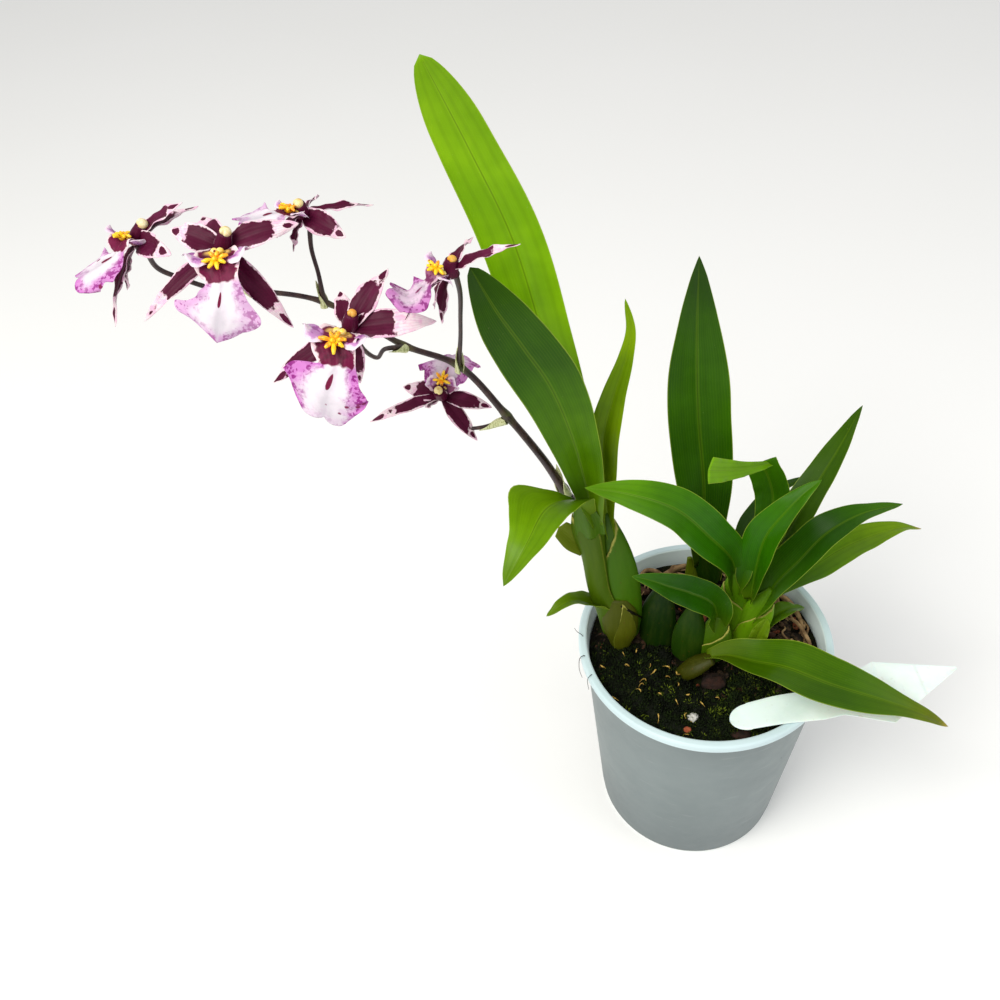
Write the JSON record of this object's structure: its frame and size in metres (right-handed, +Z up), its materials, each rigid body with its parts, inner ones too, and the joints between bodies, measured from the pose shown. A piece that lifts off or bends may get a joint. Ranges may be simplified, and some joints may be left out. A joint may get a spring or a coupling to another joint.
{
  "type": "potted orchid",
  "caption": "Oncidium orchid in a grey plastic pot: long arching leaves on flattened bulbs, a leaning spike of spotted white and maroon blooms, moss and a blank label.",
  "frame": {"origin": "middle of the pot's flat underside, on the surface that the pot stands on", "axes": "+Z up along the pot's axis; -Y towards the side that the leaves and blooms face; the flower spike leans towards -X and the label lies towards +X"},
  "size_m": [0.3378, 0.12, 0.4034],
  "materials": {
    "pot": "satin",
    "mix": "matte",
    "moss": "matte",
    "label": "satin",
    "growth": "satin",
    "leaf": "satin",
    "spike": "satin",
    "tepals": "satin",
    "lip": "satin",
    "crest": "satin",
    "cap": "satin"
  },
  "bodies": {
    "root": {"pot": "pot", "bark_mix": "mix", "moss": "moss", "plant_label": "label", "flower_spike": "spike", "growth_left": "growth", "bulb_middle_left": "growth", "bulb_middle_right": "growth", "growth_back": "growth", "growth_right": "growth", "growth_low_front": "growth", "bulb_front": "growth", "bract_right": "leaf", "leaf_arching": "leaf", "leaf_back": "leaf", "leaf_behind": "leaf", "leaf_bent_tip": "leaf", "leaf_drooping": "leaf", "leaf_far_right": "leaf", "leaf_front": "leaf", "leaf_inner_right": "leaf", "leaf_low_front": "leaf", "leaf_low_left": "leaf", "leaf_narrow": "leaf", "leaf_right": "leaf", "leaf_small_right": "leaf", "leaf_tall": "leaf", "leaf_tall_front": "leaf", "leaf_upper_right": "leaf", "bloom_1_cap": "cap", "bloom_1_crest": "crest", "bloom_1_lip": "lip", "bloom_1_tepals": "tepals", "bloom_2_cap": "cap", "bloom_2_crest": "crest", "bloom_2_lip": "lip", "bloom_2_tepals": "tepals", "bloom_3_cap": "cap", "bloom_3_crest": "crest", "bloom_3_lip": "lip", "bloom_3_tepals": "tepals", "bloom_4_cap": "cap", "bloom_4_crest": "crest", "bloom_4_lip": "lip", "bloom_4_tepals": "tepals", "bloom_5_cap": "cap", "bloom_5_crest": "crest", "bloom_5_lip": "lip", "bloom_5_tepals": "tepals", "bloom_6_cap": "cap", "bloom_6_crest": "crest", "bloom_6_lip": "lip", "bloom_6_tepals": "tepals"}
  },
  "joints": []
}
